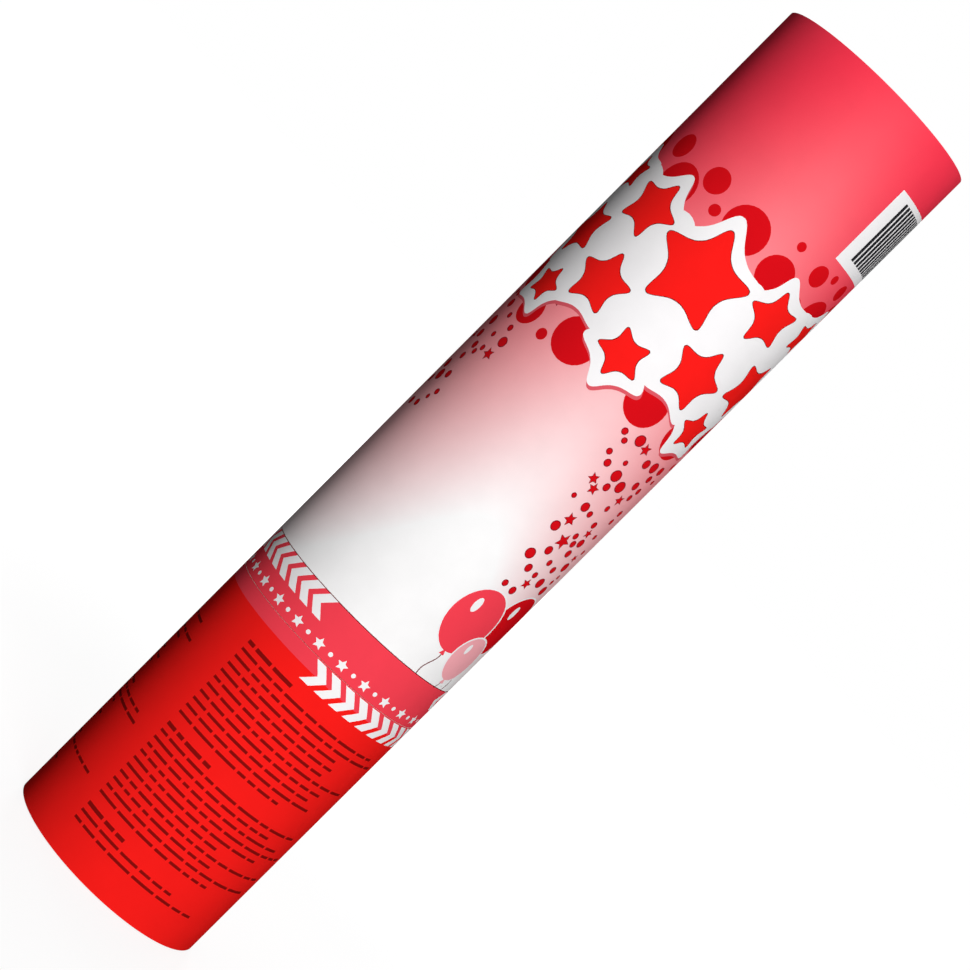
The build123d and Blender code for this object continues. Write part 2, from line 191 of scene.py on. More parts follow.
def matter(name, first, second, grain, rough, metal=0.0, along=(1, 1, 1), depth=0.00002):
    """Make a material of two near sRGB colours in a grain, with uneven gloss and a fine bump."""
    material, tree, surface, place = begin(name)
    drawn = stretch(tree, place, along)
    coarse = noise(tree, drawn, grain)
    fine = noise(tree, drawn, grain * FINER)
    give(
        tree,
        surface,
        Base_Color=mix(tree, coarse, srgb(*first), srgb(*second)),
        Roughness=vary(tree, fine, rough - GLOSS_RANGE, rough + GLOSS_RANGE),
        Metallic=metal,
        Normal=bump(tree, fine, depth),
    )
    return material


def put(name, data):
    """Put an object with that name and data into the scene and return it."""
    made = bpy.data.objects.new(name, data)
    bpy.context.scene.collection.objects.link(made)
    return made


# Inks

# Glow of the ground: its middle, how it spreads sideways, where its fade begins and ends, and its two tones
GLOW_ALONG = 7.0
GLOW_HEIGHT = 115.0
GLOW_SPREAD = 60.0
GLOW_SOFTNESS = 0.25
GLOW_INNER = 20.0
GLOW_REACH = 190.0
GLOW_WHITE = (254, 253, 253)
GLOW_RED = (255, 58, 82)
TONES = {
    "red": (255, 31, 28),
    "band": (250, 68, 84),
    "white": (252, 250, 251),
    "crimson": (220, 16, 26),
    "rose": (226, 92, 104),
    "blush": (253, 176, 184),
    "maroon": (112, 14, 12),
    "wine": (150, 12, 34),
    "umber": (136, 17, 15),
    "grey": (40, 40, 44),
}
CORE_TONE = (238, 234, 228)


def ground(tree, place):
    """Return the barrel's ground colour: white low on each side, and red towards its edges and the muzzle."""
    axes = parts(tree, place)
    turn = calc(tree, "ARCTAN2", axes[0], calc(tree, "MULTIPLY", axes[1], -1.0))
    side = calc(tree, "SINE", calc(tree, "SUBTRACT", turn, GLOW_ALONG / RADIUS))
    square = calc(tree, "ADD", calc(tree, "MULTIPLY", side, side), GLOW_SOFTNESS**2)
    slope = calc(tree, "SUBTRACT", calc(tree, "SQRT", square), GLOW_SOFTNESS)
    above = calc(tree, "SUBTRACT", axes[2], GLOW_HEIGHT * MM)
    away = calc(tree, "ADD", above, calc(tree, "MULTIPLY", slope, GLOW_SPREAD * MM))
    near = remap(tree, away, GLOW_INNER * MM, GLOW_REACH * MM, 1.0, 0.0)
    share = calc(tree, "MULTIPLY", near, near)
    return mix(tree, share, srgb(*GLOW_RED), srgb(*GLOW_WHITE))


def printed(name, colour):
    """Make an ink on matt paper. The colour is constant, or a function that draws it."""
    material, tree, surface, place = begin(name)
    tone = colour(tree, place) if callable(colour) else colour
    cloud = noise(tree, place, scale=160.0)
    fibre = noise(tree, place, scale=2600.0)
    shade = vary(tree, cloud, low=0.97, high=1.0)
    toned = add(tree, "ShaderNodeHueSaturation", {"Value": shade, "Color": tone}).outputs[0]
    give(
        tree,
        surface,
        Base_Color=toned,
        Roughness=vary(tree, fibre, low=0.52, high=0.62),
        Specular_IOR_Level=0.0,
        Diffuse_Roughness=0.1,
        Normal=bump(tree, fibre, depth=0.000004),
    )
    return material


INK = {"ground": printed("ink_ground", ground), "core": printed("paper_core", srgb(*CORE_TONE))}
for ink_name, ink_tone in TONES.items():
    INK[ink_name] = printed(f"ink_{ink_name}", srgb(*ink_tone))


# Shapes of the print, as outlines in millimetres

WAIST = 0.48  # of a star, as a share of its reach
CORNER_CUT = 0.2  # share of a side that softening takes off at each end
BORDER_TIP = 1.35  # how far a border of width 1 stands out at the tips of a star and at its waist
BORDER_WAIST = 1.05
CHEVRON_ARM = 3.0
CHEVRON_NOSE = 3.1
STRING_SWING = 0.5
STRING_WAVE = 9.0
STRING_WIDTH = 0.35
STRING_STEP = 0.6
STRING_LEAST = 8  # steps of the shortest string


def block(left, low, right, high):
    """Return a rectangle."""
    return [(left, low), (right, low), (right, high), (left, high)]


def all_round(low, high):
    """Return a strip that goes all round a tube."""
    return block(-HALF_SHEET, low, HALF_SHEET, high)


def oval(along, height, wide, tall, count=28):
    """Return an oval of those half sizes."""
    turns = [2 * math.pi * step / count for step in range(count)]
    return [(along + wide * math.cos(turn), height + tall * math.sin(turn)) for turn in turns]


def star(along, height, reach, turn, points=5, waist=WAIST):
    """Return a star of that reach, turned by degrees."""
    outline = []
    for step in range(2 * points):
        radius = reach if step % 2 == 0 else reach * waist
        angle = math.radians(turn + 90) + math.pi * step / points
        outline.append((along + radius * math.cos(angle), height + radius * math.sin(angle)))
    return outline


def border(along, height, reach, turn, width):
    """Return a star that stands out round another one by that width."""
    out = reach + BORDER_TIP * width
    return star(along, height, out, turn, waist=(WAIST * reach + BORDER_WAIST * width) / out)


def soften(outline, rounds=3):
    """Return an outline with its corners cut again and again."""
    keep = 1 - CORNER_CUT
    for _ in range(rounds):
        cut = []
        for spot, (x, y) in enumerate(outline):
            next_x, next_y = outline[(spot + 1) % len(outline)]
            cut.append((keep * x + CORNER_CUT * next_x, keep * y + CORNER_CUT * next_y))
            cut.append((CORNER_CUT * x + keep * next_x, CORNER_CUT * y + keep * next_y))
        outline = cut
    return outline


def chevron(along, low, high, way):
    """Return an arrow head that starts at a place and points one way."""
    arm = CHEVRON_ARM * way
    nose = CHEVRON_NOSE * way
    middle = (low + high) / 2
    return [
        (along, high),
        (along + arm, high),
        (along + arm + nose, middle),
        (along + arm, low),
        (along, low),
        (along + nose, middle),
    ]


def string(start, end):
    """Return a wavy string between two places."""
    (x0, y0), (x1, y1) = start, end
    reach = math.hypot(x1 - x0, y1 - y0)
    ahead = ((x1 - x0) / reach, (y1 - y0) / reach)
    count = max(STRING_LEAST, int(reach / STRING_STEP))
    left, right = [], []
    for step in range(count + 1):
        gone = reach * step / count
        phase = 2 * math.pi * gone / STRING_WAVE
        swing = STRING_SWING * math.sin(phase)
        slope = STRING_SWING * 2 * math.pi / STRING_WAVE * math.cos(phase)
        thick = STRING_WIDTH / 2 * math.sqrt(1 + slope**2)
        for side, edge in ((1, left), (-1, right)):
            off = swing + side * thick
            edge.append((x0 + ahead[0] * gone - ahead[1] * off, y0 + ahead[1] * gone + ahead[0] * off))
    return left + right[::-1]


# Print of the lower tube: the lower row of arrows, on the edge of the band, and columns of broken lines

SEED = 7
TURNS = (0.0, HALF_ROUND)  # middles of the front and of the back
BAND_FOOT = 77.1
BAND_TOP = 94.0
CHEVRONS = 10
CHEVRON_PITCH = 4.92
CHEVRON_HEIGHT = 6.5
BASE_ARROWS_ALONG = 0.4
BASE_ARROWS_FOOT = 74.2
COLUMNS = 3
COLUMN_MARGIN = -15.3  # left edge of the column on the front
COLUMN_LIMIT = 91.0  # no line reaches further
LINE_BLOCKS = ((71.2, 11, 2.44), (42.7, 11, 2.4), (14.6, 3, 2.4))  # top line, count and pitch of each
HEADING_LENGTH = 16.0
HEADING_HALF = 0.54  # half of the thickness
LINE_LEAST = 30.0
LINE_MOST = 57.0
LINE_HALF = 0.4
DASH_LEAST = 1.8
DASH_MOST = 7.5
DASH_GAP = 0.9
DASH_ROOM = 2.0  # a dash begins only where more than this is left of its line
chance = random.Random(SEED)


def arrows(start, low, way):
    """Return the rows of arrow heads that start at a place, on the front and on the back."""
    heads = []
    for turn in TURNS:
        for count in range(CHEVRONS):
            spot = start + turn + way * count * CHEVRON_PITCH
            heads.append(("white", chevron(spot, low, low + CHEVRON_HEIGHT, way)))
    return heads


def lines(margin):
    """Return a column of broken lines, each line as long as chance has it but the first of each block."""
    drawn = []
    for top, count, pitch in LINE_BLOCKS:
        for row in range(count):
            height = top - row * pitch
            heading = row == 0
            half = HEADING_HALF if heading else LINE_HALF
            length = HEADING_LENGTH if heading else chance.uniform(LINE_LEAST, LINE_MOST)
            end = min(margin + length, COLUMN_LIMIT)
            along = margin
            while along < end - DASH_ROOM:
                dash = min(chance.uniform(DASH_LEAST, DASH_MOST), end - along)
                drawn.append(("umber", block(along, height - half, along + dash, height + half)))
                along += dash + DASH_GAP
    return drawn


base_print = [("red", all_round(BASE_FOOT, BASE_TOP)), ("band", all_round(BAND_FOOT, BASE_TOP))]
base_print += arrows(BASE_ARROWS_ALONG, BASE_ARROWS_FOOT, 1)
for column in range(COLUMNS):
    base_print += lines(COLUMN_MARGIN + (column - 1) * ROUND / COLUMNS)


# Print of the barrel: the band, large dots, drifts of specks, clusters of stars, balloons and a panel

BAND_RULE = 0.22  # dark line along the top of the band
BARREL_ARROWS_ALONG = -5.7
STUDS = 48
STUD_HEIGHT = 83.6
STUD_STAR = 1.7
STUD_DOT = 0.62

# A cluster's stars: along, up, reach and tilt. One wide white border runs round them all, filled by ovals:
# along, up, half width and half height. A shadow of the border shows at its lower right.
CLUSTER_HEIGHT = 205.0
STARS = (
    (-39.5, 15.5, 6.2, 10.0),
    (40.0, 15.0, 6.2, -8.0),
    (-36.5, -3.0, 9.5, 22.0),
    (37.5, -4.0, 10.0, -20.0),
    (-30.5, -20.0, 6.0, -14.0),
    (32.0, -20.5, 6.5, 12.0),
    (0.5, -19.5, 7.5, 32.0),
    (-22.0, 11.0, 9.5, -14.0),
    (22.5, 12.0, 9.0, 18.0),
    (-17.0, -10.5, 9.5, 4.0),
    (18.0, -11.0, 10.0, -8.0),
    (0.0, 7.0, 15.0, 7.0),
)
FILLS = (
    (-23.0, 0.5, 17.0, 7.5),
    (23.5, 1.0, 17.0, 7.5),
    (0.5, -9.0, 12.0, 8.0),
    (-29.5, -11.0, 9.0, 7.0),
    (31.0, -11.5, 9.0, 7.0),
    (-32.0, 12.0, 8.0, 8.5),
    (33.0, 12.0, 8.0, 8.5),
    (-9.0, -15.0, 5.5, 4.5),
    (10.0, -15.0, 5.5, 4.5),
    (HALF_ROUND / 2, 4.0, 11.0, 11.0),
    (-12.5, 9.0, 6.0, 7.0),
    (13.0, 9.0, 6.0, 7.0),
)
BORDER = 3.5
SHADOW_RIGHT = 0.6
SHADOW_DOWN = 0.8
STAR_RIM = 0.2

# Large dots above and below the cluster, tried from the largest down
DOT_SIZES = (6.2, 5.4, 4.6, 3.6, 3.0, 2.4, 2.0, 1.6, 1.3)
DOT_TRIES = 9
DOT_NEAR = 17.0  # from the cluster's middle
DOT_FAR = 32.0
DOT_GAP = 0.8

# Drifts of small dots and stars that fall from the cluster: middle and half width at the top and at the
# foot, height of the foot, and how many specks are tried
DRIFT_TOP = 184.0
DRIFTS = ((25.0, 13.0, 31.0, 8.0, 116.0, 190), (-34.0, 13.0, -39.0, 7.0, 138.0, 80))
DRIFT_THINNING = 1.2  # above 1, the specks crowd towards the top
SPECK_LEAST = 0.75
SPECK_MOST = 1.75
SPECK_RIM = 0.28
SPECK_GAP = 0.45
SPECK_STARS = 0.15  # share of the specks that are stars
SPECK_STAR_REACH = 1.5  # of a star, for a dot of reach 1
STAR_REPEAT = 72  # degrees after which a star looks the same

# Balloons at the lower right of each side, clear of the drifts: along, height, half width and ink
BALLOONS = ((37.0, 117.0, 8.0, "crimson"), (23.5, 113.0, 8.2, "band"), (32.5, 104.0, 5.8, "blush"))
BALLOON_TALL = 1.22  # half height, for a half width of 1
BALLOON_RIM = 0.5
KNOT_FOOT = 1.2  # below the balloon
KNOT_TOP = 0.6  # inside it
KNOT_HALF = 1.0
STRING_DRIFT = 1.5  # to the left, from the balloon to the band
SHINE_LEFT = 0.38  # place and half sizes of the shine, as shares of the balloon's half sizes
SHINE_UP = 0.4
SHINE_WIDE = 0.14
SHINE_TALL = 0.23

# Panel with even bars
PANEL_LEFT = 22.8
PANEL_RIGHT = 62.0
PANEL_FOOT = 238.8
PANEL_TOP = 262.2
BARS = 17
BAR_INSET = 4.5
BAR_PITCH = 1.78
BAR_WIDTH = 1.24
BAR_FOOT = 241.5
BAR_TOP = 260.7
taken = []


def studs():
    """Return the row of stars and dots along the band."""
    drawn = []
    for stud in range(STUDS):
        spot = (stud + 0.5 - STUDS / 2) * ROUND / STUDS
        if stud % 2:
            drawn.append(("white", star(spot, STUD_HEIGHT, STUD_STAR, turn=0)))
        else:
            drawn.append(("white", oval(spot, STUD_HEIGHT, STUD_DOT, STUD_DOT, count=12)))
    return drawn


def is_free(along, height, size, gap):
    """Take a round place if it lies clear of those taken before, and return whether it did."""
    for x, y, radius in taken:
        if math.hypot(math.remainder(along - x, ROUND), height - y) < size + radius + gap:
            return False
    taken.append((along, height, size))
    return True


def large_dots(turn):
    """Return the large dots above and below the cluster of one side."""
    drawn = []
    for size in DOT_SIZES:
        for side, _ in itertools.product((1, -1), range(DOT_TRIES)):
            along = turn + chance.uniform(-0.5, 0.5) * HALF_ROUND
            height = CLUSTER_HEIGHT + side * chance.uniform(DOT_NEAR, DOT_FAR - size)
            if is_free(along, height, size, DOT_GAP):
                drawn.append(("crimson", oval(along, height, size, size)))
    return drawn


def drift(turn, top_middle, top_half, foot_middle, foot_half, foot, count):
    """Return the specks of one drift, each with a dark rim."""
    drawn = []
    for _ in range(count):
        fallen = chance.random() ** DRIFT_THINNING
        half = top_half + (foot_half - top_half) * fallen
        along = turn + top_middle + (foot_middle - top_middle) * fallen + half * chance.uniform(-1, 1)
        height = DRIFT_TOP + (foot - DRIFT_TOP) * fallen
        size = chance.uniform(SPECK_LEAST, SPECK_MOST)
        tilt = chance.uniform(0, STAR_REPEAT)
        is_star = chance.random() < SPECK_STARS
        if not is_free(along, height, size, SPECK_GAP):
            continue
        for ink, reach in (("wine", size), ("crimson", size - SPECK_RIM)):
            if is_star:
                drawn.append((ink, star(along, height, reach * SPECK_STAR_REACH, tilt)))
            else:
                drawn.append((ink, oval(along, height, reach, reach, count=20)))
    return drawn


def clusters():
    """Return the clusters of both sides, one layer over the other."""
    drawn = []
    places = []
    for turn in TURNS:
        places += [(turn + along, CLUSTER_HEIGHT + up, reach, tilt) for along, up, reach, tilt in STARS]
    for along, height, reach, tilt in places:
        shadow = border(along + SHADOW_RIGHT, height - SHADOW_DOWN, reach, tilt, BORDER)
        drawn.append(("rose", soften(shadow)))
    for place in places:
        drawn.append(("white", soften(border(*place, BORDER))))
    for turn in TURNS:
        for along, up, wide, tall in FILLS:
            drawn.append(("white", oval(turn + along, CLUSTER_HEIGHT + up, wide, tall)))
    for place in places:
        drawn.append(("maroon", soften(border(*place, STAR_RIM))))
        drawn.append(("red", soften(star(*place))))
    return drawn


def balloon(along, height, wide, tone):
    """Return a balloon with its string, knot and shine, as inks and outlines."""
    tall = wide * BALLOON_TALL
    foot = height - tall
    knot_foot = foot - KNOT_FOOT
    knot = [(along, foot + KNOT_TOP), (along - KNOT_HALF, knot_foot), (along + KNOT_HALF, knot_foot)]
    shine_along = along - wide * SHINE_LEFT
    shine_height = height + tall * SHINE_UP
    return [
        ("maroon", string((along, foot), (along - STRING_DRIFT, BAND_TOP))),
        ("white", oval(along, height, wide + BALLOON_RIM, tall + BALLOON_RIM)),
        (tone, knot),
        (tone, oval(along, height, wide, tall, count=40)),
        ("white", oval(shine_along, shine_height, wide * SHINE_WIDE, tall * SHINE_TALL, count=16)),
    ]


def panel():
    """Return the white panel and its bars."""
    drawn = [("white", block(PANEL_LEFT, PANEL_FOOT, PANEL_RIGHT, PANEL_TOP))]
    for bar in range(BARS):
        left = PANEL_LEFT + BAR_INSET + bar * BAR_PITCH
        drawn.append(("grey", block(left, BAR_FOOT, left + BAR_WIDTH, BAR_TOP)))
    return drawn


barrel_print = [
    ("ground", all_round(BARREL_FOOT, BARREL_TOP)),
    ("band", all_round(BARREL_FOOT, BAND_TOP)),
    ("maroon", all_round(BAND_TOP, BAND_TOP + BAND_RULE)),
]
barrel_print += arrows(BARREL_ARROWS_ALONG, BAND_TOP - CHEVRON_HEIGHT, -1)
barrel_print += studs()
for turn in TURNS:
    taken += [(turn + along, height, wide * BALLOON_TALL) for along, height, wide, _ in BALLOONS]
for turn in TURNS:
    barrel_print += large_dots(turn)
    for drift_shape in DRIFTS:
        barrel_print += drift(turn, *drift_shape)
barrel_print += clusters()
for turn in TURNS:
    for along, height, wide, tone in BALLOONS:
        barrel_print += balloon(turn + along, height, wide, tone)
barrel_print += panel()


# Wraps: each one a closed sheet of paper, with its print as faces of its outside

def on_tube(along, height, radius):
    """Return the place on the tube of a point of the unrolled print."""
    turn = along / RADIUS
    return Vector((radius * math.sin(turn), -radius * math.cos(turn), height)) * MM


def area(outline):
    """Return twice the signed area of an outline."""
    total = 0.0
    for spot, (x, y) in enumerate(outline):
        next_x, next_y = outline[(spot + 1) % len(outline)]
        total += x * next_y - next_x * y
    return total


def cut_sheet(shapes, foot, top):
    """Cut a flat sheet along shapes in the order that they are printed. The first one is the whole sheet.

    Return the corners, and the triangles with the ink of each."""
    corners, outlines, edges, inks = [], [], [], []
    for ink, outline in shapes:
        if area(outline) < 0:
            outline = outline[::-1]
        for shift in (-ROUND, 0.0, ROUND):
            moved = [(along + shift, height) for along, height in outline]
            alongs = [along for along, _ in moved]
            if max(alongs) < -HALF_SHEET or min(alongs) > HALF_SHEET:
                continue
            outlines.append(list(range(len(corners), len(corners) + len(moved))))
            corners += moved
            inks.append(ink)
    for bend in range(1, BENDS):
        along = HALF_SHEET * (2 * bend / BENDS - 1)
        edges.append((len(corners), len(corners) + 1))
        corners += [(along, foot), (along, top)]
    flat = [Vector(corner) for corner in corners]
    spots, _, triangles, _, _, owners = delaunay_2d_cdt(flat, edges, outlines, 0, MERGE, True)
    kept = []
    for triangle, owner in zip(triangles, owners):
        if 0 in owner:
            kept.append((tuple(triangle), inks[max(owner)]))
    return spots, kept


def wrap(name, shapes, foot, top, node, body):
    """Build the wrap that stands for a node, from shapes in the order that they are printed."""
    spots, kept = cut_sheet(shapes, foot, top)

    # Outside, inside, and the cut edges between them
    count = len(spots)
    outside = [on_tube(spot.x, spot.y, RADIUS) for spot in spots]
    inside = [on_tube(spot.x, spot.y, RADIUS - PAPER) for spot in spots]
    sides = set()
    for (a, b, c), _ in kept:
        sides.update(((a, b), (b, c), (c, a)))
    faces = [triangle for triangle, _ in kept]
    faces += [(a + count, c + count, b + count) for (a, b, c), _ in kept]
    faces += [(b, a, a + count, b + count) for a, b in sides if (b, a) not in sides]
    palette = sorted({ink for ink, _ in shapes}) + ["core"]
    tints = [palette.index(ink) for _, ink in kept]
    tints += [palette.index("core")] * (len(faces) - len(tints))

    mesh = bpy.data.meshes.new(name)
    mesh.from_pydata(outside + inside, [], faces)
    for ink in palette:
        mesh.materials.append(INK[ink])
    mesh.polygons.foreach_set("material_index", tints)
    mesh.polygons.foreach_set("use_smooth", [True] * len(faces))
    normals = []
    for number, face in enumerate(mesh.polygons):
        for corner in face.vertices:
            across = mesh.vertices[corner].co * Vector((1, 1, 0))
            if number < len(kept):
                normals.append(across.normalized())
            elif number < 2 * len(kept):
                normals.append(-across.normalized())
            else:
                normals.append(face.normal.copy())
    mesh.normals_split_custom_set(normals)
    made = put(name, mesh)
    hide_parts(node)
    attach(made, body)


wrap("printed_base", base_print, BASE_FOOT, BASE_TOP, "base_wrap", "twist_base")
wrap("printed_barrel", barrel_print, BARREL_FOOT, BARREL_TOP, "barrel_wrap", "barrel")


# Materials of the CAD pieces

PLY = 0.00044  # thickness of one ply of the card
PLY_LINE = 0.22  # share of a ply that its dark line takes
JOINT_RISE = 0.075  # of the spiral joint in one turn
JOINT_LINE = 0.012  # share of a turn that its dark line takes
LINE_STRENGTH = 0.5
END_FACING = 0.5  # a face that looks up or down by more than this is a cut end
BRUSHED = (1, 1, 0.06)  # stretch of a grain that runs up the bottle
FIBRES = (1, 1, 0.3)  # stretch of the card's fibres


def card():
    """Make the tube's card, with its plies on the cut ends and a spiral joint along the bore."""
    material, tree, surface, place = begin("tube_card")
    axes = parts(tree, place)
    squares = [calc(tree, "MULTIPLY", axis, axis) for axis in (axes[0], axes[1])]
    out = calc(tree, "SQRT", calc(tree, "ADD", squares[0], squares[1]))
    plies = calc(tree, "FRACT", calc(tree, "DIVIDE", out, PLY))
    turn = calc(tree, "DIVIDE", calc(tree, "ARCTAN2", axes[1], axes[0]), 2 * math.pi)
    joint = calc(tree, "FRACT", calc(tree, "ADD", turn, calc(tree, "DIVIDE", axes[2], JOINT_RISE)))
    facing = parts(tree, add(tree, "ShaderNodeNewGeometry").outputs["Normal"])[2]
    on_end = calc(tree, "GREATER_THAN", calc(tree, "ABSOLUTE", facing), END_FACING)
    joint_line = calc(tree, "LESS_THAN", joint, JOINT_LINE)
    ply_line = calc(tree, "LESS_THAN", plies, PLY_LINE)
    line = mix(tree, on_end, joint_line, ply_line)
    cloud = noise(tree, place, scale=220.0)
    fibre = noise(tree, stretch(tree, place, FIBRES), scale=1800.0)
    board = mix(tree, cloud, srgb(166, 146, 120), srgb(188, 170, 146))
    give(
        tree,
        surface,
        Base_Color=mix(tree, calc(tree, "MULTIPLY", line, LINE_STRENGTH), board, srgb(110, 92, 72)),
        Roughness=vary(tree, fibre, low=0.8, high=0.95),
        Normal=bump(tree, fibre, depth=0.00003),
    )
    return material


def clear():
    """Make the clear cap's plastic, a little clouded."""
    material, tree, surface, place = begin("clear_plastic")
    cloud = noise(tree, place, scale=90.0)
    give(
        tree,
        surface,
        Base_Color=mix(tree, cloud, (0.86, 0.9, 0.92, 1), (0.94, 0.96, 0.97, 1)),
        Roughness=vary(tree, cloud, low=0.06, high=0.16),
        IOR=1.46,
        Transmission_Weight=0.95,
    )
    return material


def gold():
    """Make the seal's gold foil, pressed with a fine grain of cells."""
    material, tree, surface, place = begin("gold_board")
    pressed = cells(tree, place, scale=900.0)
    cloud = noise(tree, place, scale=110.0)
    give(
        tree,
        surface,
        Base_Color=mix(tree, cloud, srgb(222, 172, 72), srgb(240, 200, 104)),
        Roughness=vary(tree, cloud, low=0.24, high=0.38),
        Metallic=1.0,
        Normal=bump(tree, pressed, depth=0.00008),
    )
    return material


def foam():
    """Make white foam with open cells."""
    material, tree, surface, place = begin("wad_foam")
    pores = cells(tree, place, scale=950.0)
    cloud = noise(tree, place, scale=120.0)
    give(
        tree,
        surface,
        Base_Color=mix(tree, cloud, srgb(232, 230, 222), srgb(246, 245, 240)),
        Roughness=remap(tree, pores, 0.0, 1.0, 0.8, 0.95),
        Normal=bump(tree, pores, depth=0.0003),
    )
    return material


def plain(slot, first, second, **values):
    """Make the plain material of a slot, under the slot's own name."""
    dressing[slot] = matter(slot, first, second, **values)


dressing = {"tube_card": card(), "gold_board": gold(), "clear_plastic": clear()}
plain("white_plastic", (236, 235, 230), (226, 226, 222), grain=140.0, rough=0.42)
plain("grey_plastic", (92, 94, 99), (80, 82, 87), grain=180.0, rough=0.38)
plain("spring_steel", (176, 178, 182), (150, 152, 157), grain=600.0, rough=0.3, metal=1.0)
plain("bottle_aluminium", (224, 226, 228), (202, 205, 208), grain=500.0, rough=0.33, metal=1.0, along=BRUSHED)
plain("seal_rubber", (34, 34, 35), (48, 48, 48), grain=700.0, rough=0.62)
plain("wad_card", (150, 144, 134), (172, 166, 154), grain=420.0, rough=0.86, depth=0.00006)
for subpart in frame["record"]["subparts"]:
    if subpart["material_slot"] in dressing:
        mesh = frame["nodes"][subpart["node"]].data
        mesh.materials.clear()
        mesh.materials.append(dressing[subpart["material_slot"]])


# Foam pad: a disc that swells a little at its side

# Lower half of its profile, as shares of its height and of its radius
PAD_SHARES = ((0.0, 0.9), (0.03, 0.955), (0.14, 0.985), (0.32, 0.996), (0.5, 1.0))
PAD_SIDES = 96


def lathe(name, profile, count, material):
    """Build a closed round piece from a profile of radii and heights that starts and ends on the axis."""
    rings = profile[1:-1]
    points = [(0, 0, profile[0][1]), (0, 0, profile[-1][1])]
    for radius, height in rings:
        for step in range(count):
            turn = 2 * math.pi * step / count
            points.append((radius * math.cos(turn), radius * math.sin(turn), height))
    faces = []
    last = 2 + (len(rings) - 1) * count
    for step in range(count):
        ahead = (step + 1) % count
        faces.append((0, 2 + ahead, 2 + step))
        faces.append((1, last + step, last + ahead))
        for ring in range(len(rings) - 1):
            near = 2 + ring * count
            far = near + count
            faces.append((near + step, near + ahead, far + ahead, far + step))
    mesh = bpy.data.meshes.new(name)
    mesh.from_pydata(points, [], faces)
    mesh.polygons.foreach_set("use_smooth", [True] * len(faces))
    mesh.materials.append(material)
    return put(name, mesh)


pad_radius = pad_high.x
pad_height = pad_high.z - pad_low.z
pad_profile = [(0.0, pad_low.z)]
for height_share, radius_share in PAD_SHARES:
    pad_profile.append((pad_radius * radius_share, pad_low.z + pad_height * height_share))
for radius, height in pad_profile[-2:0:-1]:
    pad_profile.append((radius, pad_low.z + pad_high.z - height))
pad_profile.append((0.0, pad_high.z))
pad = lathe("foam_pad", pad_profile, PAD_SIDES, foam())
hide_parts("wad_pad")
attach(pad, "load")


# Paper slips: each stack of the CAD model as loose slips that stand on end and bow a little

TIERS = 3
TIER_TURN = 60.0
LOAD_RADIUS = pad_radius / MM
SLIP_WIDTH = 17.5
SLIP_STACK = 5.0
SLIP_GAP = 0.5
SLIP_PAPER = 0.16
SLIPS = 17  # in a stack
SLIP_ROWS = 5  # faces along a slip
STACK_MARGIN = 0.45  # part of a stack's thickness that is left for the slips to bow into
TRIM_LEAST = 0.1  # cut off each side of a slip
TRIM_MOST = 0.6
BOW_MOST = 0.16
LEAN_MOST = 0.08
RISE_MOST = 0.5
SHORT_MOST = 2.0
SLIP_TONES = {
    "slip_red": ((226, 30, 38), (236, 46, 54)),
    "slip_light_red": ((240, 84, 92), (246, 104, 110)),
    "slip_pink": ((250, 164, 172), (252, 180, 186)),
    "slip_white": ((238, 234, 232), (246, 243, 241)),
}
SLIP_DRAWS = (0, 0, 0, 1, 1, 2, 3)  # numbers of the tones, each as often as it is drawn


def spread(reach, least):
    """Return even places from one end of a reach to the other, or its middle if only one fits."""
    steps = int(2 * reach // least)
    if steps == 0:
        return [0.0]
    return [reach * (2 * step / steps - 1) for step in range(steps + 1)]


def stacks():
    """Return the places of the stacks in a tier, across the rows and along them."""
    places = []
    row_reach = math.sqrt(LOAD_RADIUS**2 - (SLIP_WIDTH / 2) ** 2) - SLIP_STACK / 2 - SLIP_GAP
    for row in spread(row_reach, SLIP_STACK + SLIP_GAP):
        far = abs(row) + SLIP_STACK / 2
        reach = math.sqrt(LOAD_RADIUS**2 - far**2) - SLIP_WIDTH / 2
        places += [(row, along) for along in spread(reach, SLIP_WIDTH + SLIP_GAP)]
    return places


def slip(points, faces, row, along, foot, top):
    """Add one bowed slip to the lists: its corners in millimetres, and its faces."""
    first = len(points)
    half = SLIP_WIDTH / 2 - chance.uniform(TRIM_LEAST, TRIM_MOST)
    bow = chance.uniform(-BOW_MOST, BOW_MOST)
    lean = chance.uniform(-LEAN_MOST, LEAN_MOST)
    low = foot + chance.uniform(0.0, RISE_MOST)
    high = top - chance.uniform(0.0, SHORT_MOST)
    for step in range(SLIP_ROWS + 1):
        share = 2 * step / SLIP_ROWS - 1
        off = row + bow * (1 - share**2) + lean * share
        height = low + (high - low) * step / SLIP_ROWS
        for thick in (-SLIP_PAPER / 2, SLIP_PAPER / 2):
            points.append((off + thick, along - half, height))
            points.append((off + thick, along + half, height))
    for step in range(SLIP_ROWS):
        a = first + 4 * step
        b = a + 4
        faces += [(a, b, b + 1, a + 1), (a + 2, a + 3, b + 3, b + 2)]
        faces += [(a, a + 2, b + 2, b), (a + 1, b + 1, b + 3, a + 3)]
    last = first + 4 * SLIP_ROWS
    faces += [(first, first + 1, first + 3, first + 2), (last, last + 2, last + 3, last + 1)]


